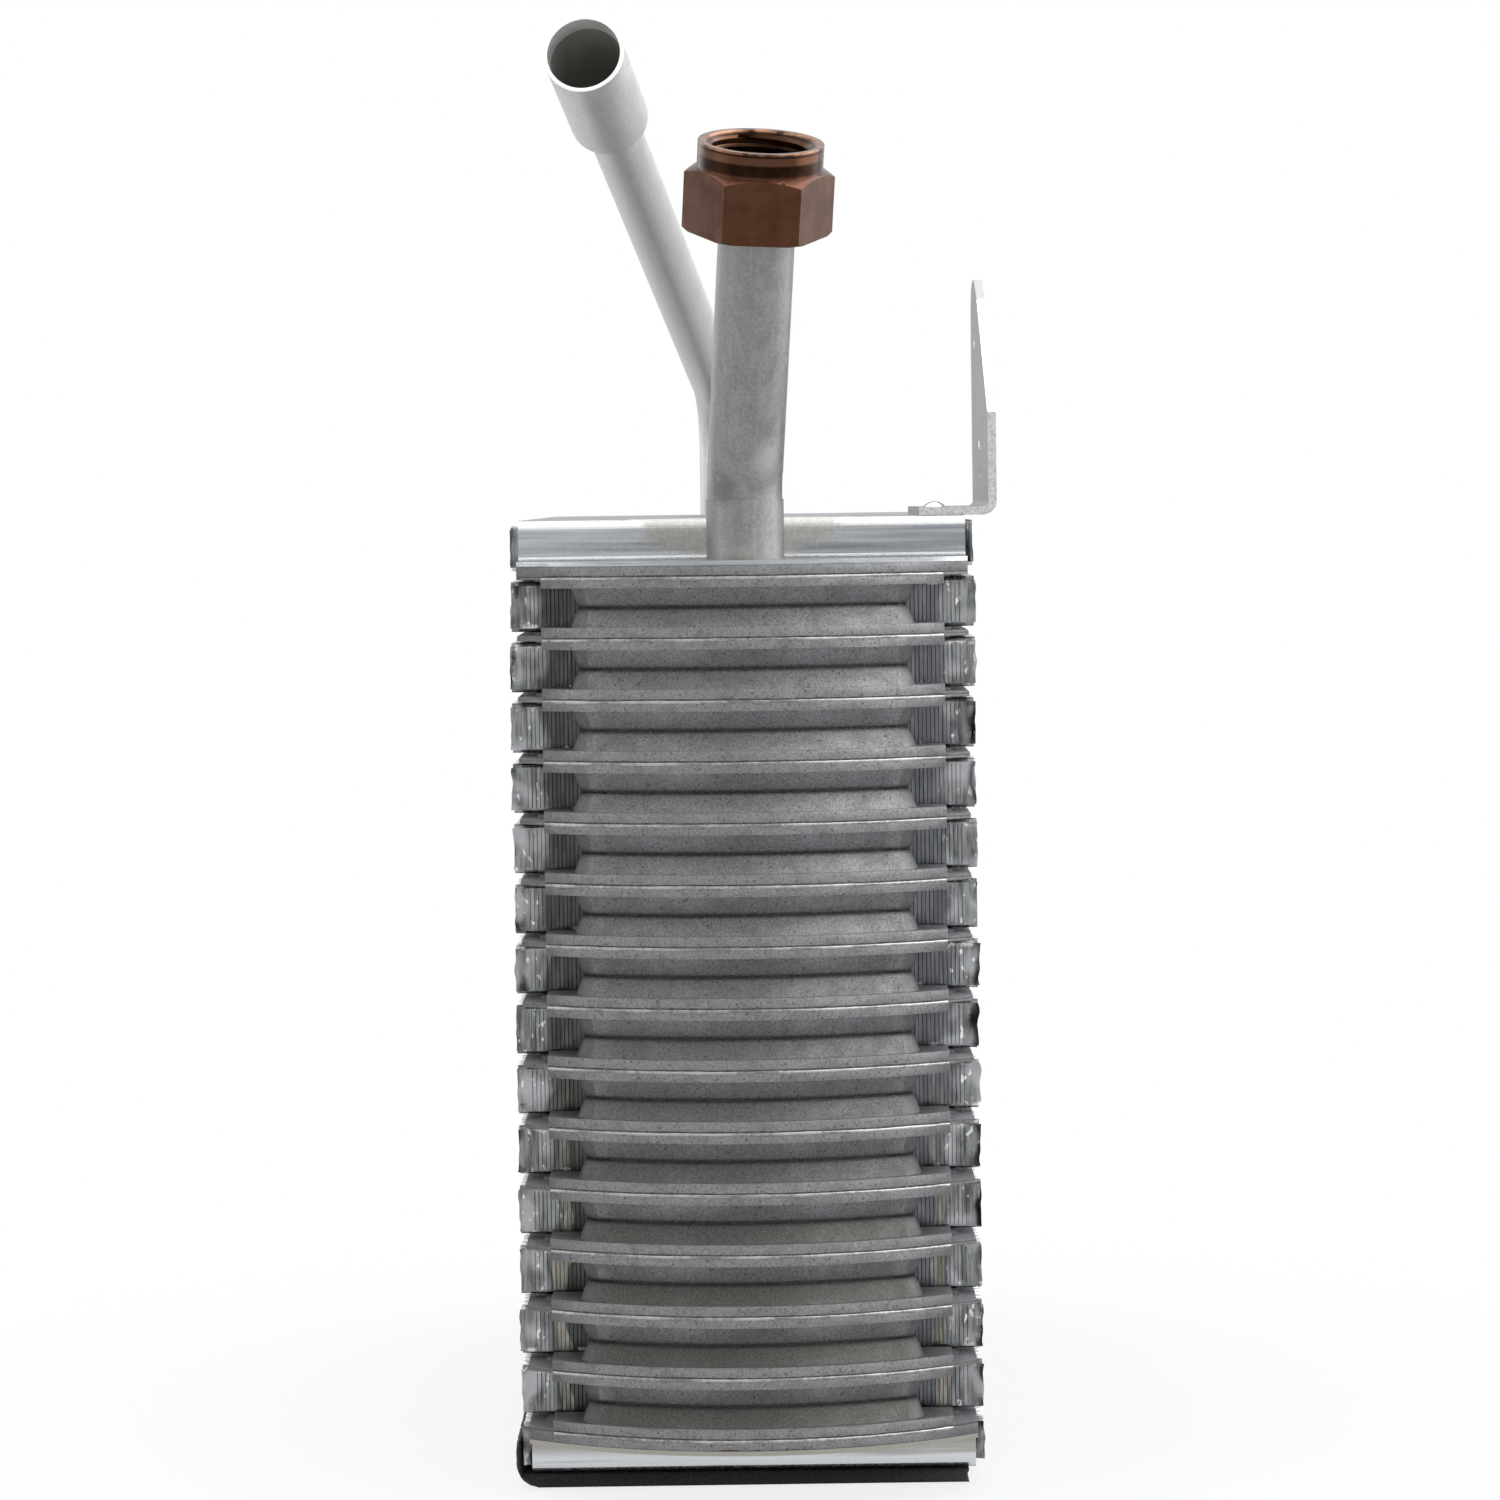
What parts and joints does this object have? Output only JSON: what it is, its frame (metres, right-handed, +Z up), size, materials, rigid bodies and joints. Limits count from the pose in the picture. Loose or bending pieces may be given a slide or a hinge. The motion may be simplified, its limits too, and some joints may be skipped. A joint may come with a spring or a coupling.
{
  "type": "evaporator core",
  "caption": "Brazed plate-and-fin evaporator core with drawn tank cups, two pipes, a captive nut, a bracket and a foam strip.",
  "frame": {"origin": "middle of the underside, on the face of the foam strip that the core rests on", "axes": "+X across the core the way the air flows, +Y along the core from the tank with the suction pipe to the far tank, +Z up through the stack of tubes"},
  "size_m": [0.106, 0.2848, 0.3159],
  "materials": {
    "plate": "speckled matt brazed sheet",
    "fin": "satin rolled foil",
    "side_plate": "bright satin sheet with flux haze",
    "pipe": "matt drawn tube",
    "nut": "brown anodised",
    "bracket": "matt sheet with bright cut edges",
    "foam": "matt closed-cell foam"
  },
  "bodies": {
    "core": {"lower_plate_1": "plate", "lower_plate_2": "plate", "lower_plate_3": "plate", "lower_plate_4": "plate", "lower_plate_5": "plate", "lower_plate_6": "plate", "lower_plate_7": "plate", "lower_plate_8": "plate", "lower_plate_9": "plate", "lower_plate_10": "plate", "lower_plate_11": "plate", "lower_plate_12": "plate", "lower_plate_13": "plate", "lower_plate_14": "plate", "lower_plate_15": "plate", "upper_plate_1": "plate", "upper_plate_2": "plate", "upper_plate_3": "plate", "upper_plate_4": "plate", "upper_plate_5": "plate", "upper_plate_6": "plate", "upper_plate_7": "plate", "upper_plate_8": "plate", "upper_plate_9": "plate", "upper_plate_10": "plate", "upper_plate_11": "plate", "upper_plate_12": "plate", "upper_plate_13": "plate", "upper_plate_14": "plate", "upper_plate_15": "plate", "fin_row_1": "fin", "fin_row_2": "fin", "fin_row_3": "fin", "fin_row_4": "fin", "fin_row_5": "fin", "fin_row_6": "fin", "fin_row_7": "fin", "fin_row_8": "fin", "fin_row_9": "fin", "fin_row_10": "fin", "fin_row_11": "fin", "fin_row_12": "fin", "fin_row_13": "fin", "fin_row_14": "fin", "fin_row_15": "fin", "fin_row_16": "fin", "bottom_side_plate": "side_plate", "top_side_plate": "side_plate", "foam_strip": "foam", "suction_pipe": "pipe", "inlet_pipe": "pipe", "bracket": "bracket", "bracket_rivet": "bracket"},
    "nut": {"pipe_nut": "nut"}
  },
  "joints": [
    {"name": "nut_spin", "type": "hinge", "parent": "core", "child": "nut", "pos_m": [0.00405, -0.13609, 0.26665], "axis": [0.0601, -0.2759, 0.9593], "continuous": true}
  ]
}
